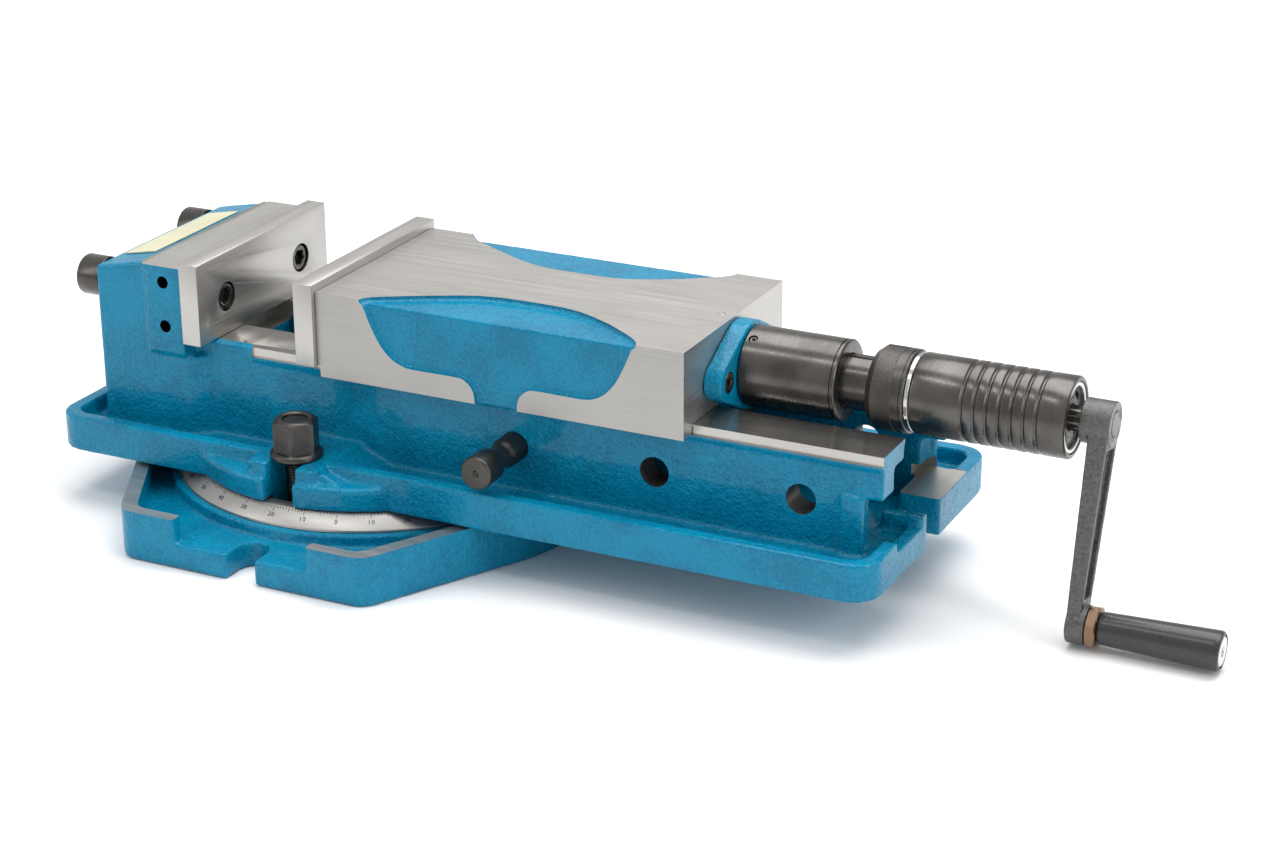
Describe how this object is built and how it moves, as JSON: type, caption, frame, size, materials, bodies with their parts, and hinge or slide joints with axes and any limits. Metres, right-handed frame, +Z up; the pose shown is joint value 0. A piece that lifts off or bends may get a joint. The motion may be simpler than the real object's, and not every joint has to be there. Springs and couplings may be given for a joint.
{
  "type": "machine vise",
  "caption": "Hydraulic machine vise on a swivel base: fixed jaw and railed bed, travelling jaw, locating pin, knurled and ribbed spindle booster, and a crank handle.",
  "frame": {"origin": "on the swivel axis, at the underside of the swivel base", "axes": "+X along the bed from the fixed jaw to the crank, +Z up, -Y the operator's side with the locating pin"},
  "size_m": [0.793, 0.348, 0.1724],
  "materials": {
    "painted_casting": "hammered enamel over a casting",
    "ground_steel": "ground",
    "black_steel": "blackened, satin",
    "bright_steel": "bright",
    "bronze": "dull",
    "raw_iron": "machined",
    "grip": "satin gloss",
    "label": "matt"
  },
  "bodies": {
    "base": {"swivel_base": "painted_casting", "degree_ring": "ground_steel", "pivot_pin": "ground_steel"},
    "bed": {"bed": "painted_casting", "name_plate": "label", "fixed_jaw_plate": "ground_steel", "fixed_plate_screw_near": "black_steel", "fixed_plate_screw_far": "black_steel", "back_screw_near": "black_steel", "back_screw_far": "black_steel", "clamp_bolt_near": "black_steel", "clamp_bolt_far": "black_steel", "nut_block": "raw_iron"},
    "clamp_nut_near": {"clamp_nut_near": "black_steel"},
    "clamp_nut_far": {"clamp_nut_far": "black_steel"},
    "locating_pin": {"locating_pin": "black_steel"},
    "jaw": {"moving_jaw": "painted_casting", "moving_jaw_plate": "ground_steel", "moving_plate_screw_near": "black_steel", "moving_plate_screw_far": "black_steel", "keeper_front": "raw_iron", "keeper_rear": "raw_iron", "keeper_screw_30_near": "black_steel", "keeper_screw_30_far": "black_steel", "keeper_screw_55_near": "black_steel", "keeper_screw_55_far": "black_steel", "keeper_screw_253_near": "black_steel", "keeper_screw_253_far": "black_steel", "oil_plug": "bright_steel", "mount_flange": "painted_casting", "flange_screw_near": "black_steel", "flange_screw_far": "black_steel"},
    "spindle": {"spindle_screw": "ground_steel", "power_cylinder": "black_steel", "set_screw_1": "bright_steel", "set_screw_2": "bright_steel", "set_screw_3": "bright_steel", "neck_tube": "black_steel", "neck_key": "black_steel", "lock_ring": "bright_steel", "ribbed_sleeve": "black_steel", "end_plate": "raw_iron", "end_ring": "bright_steel"},
    "preset_ring": {"knurled_ring": "black_steel"},
    "crank": {"drive_shaft": "black_steel", "crank_arm": "black_steel", "grip_axle": "bright_steel", "grip_nut": "bronze"},
    "plunger": {"plunger": "ground_steel"},
    "grip": {"grip": "grip"}
  },
  "joints": [
    {"name": "swivel", "type": "hinge", "parent": "base", "child": "bed", "pos_m": [0, 0, 0.03], "axis": [0, 0, 1], "continuous": true},
    {"name": "clamp_nut_near_turn", "type": "hinge", "parent": "bed", "child": "clamp_nut_near", "pos_m": [0, -0.101, 0.07], "axis": [0, 0, 1], "range_deg": [0, 360]},
    {"name": "clamp_nut_far_turn", "type": "hinge", "parent": "bed", "child": "clamp_nut_far", "pos_m": [0, 0.101, 0.07], "axis": [0, 0, 1], "range_deg": [0, 360]},
    {"name": "pin_pull", "type": "slide", "parent": "bed", "child": "locating_pin", "axis": [0, -1, 0], "range_m": [0, 0.13]},
    {"name": "jaw_travel", "type": "slide", "parent": "bed", "child": "jaw", "axis": [1, 0, 0], "range_m": [-0.0745, 0.03]},
    {"name": "spindle_spin", "type": "hinge", "parent": "jaw", "child": "spindle", "pos_m": [0.3, 0, 0.1358], "axis": [1, 0, 0], "range_deg": [-4480, 1810]},
    {"name": "preset_ring_turn", "type": "hinge", "parent": "spindle", "child": "preset_ring", "pos_m": [0.38, 0, 0.1358], "axis": [1, 0, 0], "range_deg": [0, 300]},
    {"name": "crank_power_stage", "type": "hinge", "parent": "spindle", "child": "crank", "pos_m": [0.506, 0, 0.1358], "axis": [1, 0, 0], "range_deg": [-900, 0]},
    {"name": "plunger_travel", "type": "slide", "parent": "spindle", "child": "plunger", "axis": [-1, 0, 0], "range_m": [0, 0.0051]},
    {"name": "grip_spin", "type": "hinge", "parent": "crank", "child": "grip", "pos_m": [0.56, -0.02748, 0.01386], "axis": [1, 0, 0], "continuous": true}
  ],
  "couplings": [
    {"joint": "spindle_spin", "follows": "jaw_travel", "rad_per_m": 1047.2},
    {"joint": "plunger_travel", "follows": "crank_power_stage", "m_per_rad": -0.00031831}
  ]
}
